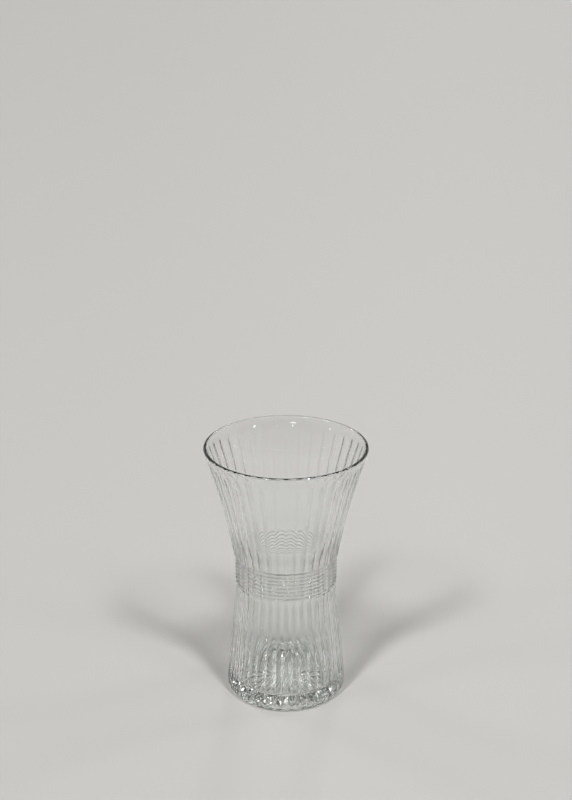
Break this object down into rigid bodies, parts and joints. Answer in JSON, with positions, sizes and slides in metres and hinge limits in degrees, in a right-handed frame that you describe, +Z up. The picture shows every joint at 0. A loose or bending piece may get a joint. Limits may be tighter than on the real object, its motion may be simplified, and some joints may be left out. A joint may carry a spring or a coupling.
{
  "type": "glass bouquet vase",
  "caption": "Clear glass bouquet vase with a flared, fluted wall, a waist banded by moulded rings, a bell-shaped lower wall and a thick star-cut base.",
  "frame": {"origin": "centre of the circle that the foot ring stands on, at table height", "axes": "+Z up along the vase's axis of revolution, towards the mouth; +X through the ridge between two flutes"},
  "size_m": [0.1042, 0.1042, 0.172],
  "materials": {
    "clear_glass": "fire-polished clear soda-lime glass"
  },
  "bodies": {
    "root": {"rim_lip": "clear_glass", "upper_wall": "clear_glass", "waist_wall": "clear_glass", "waist_ring_1": "clear_glass", "waist_ring_2": "clear_glass", "waist_ring_3": "clear_glass", "waist_ring_4": "clear_glass", "waist_ring_5": "clear_glass", "waist_ring_6": "clear_glass", "waist_ring_7": "clear_glass", "waist_ring_8": "clear_glass", "lower_wall": "clear_glass", "base_disc": "clear_glass", "foot_ring": "clear_glass"}
  },
  "joints": []
}
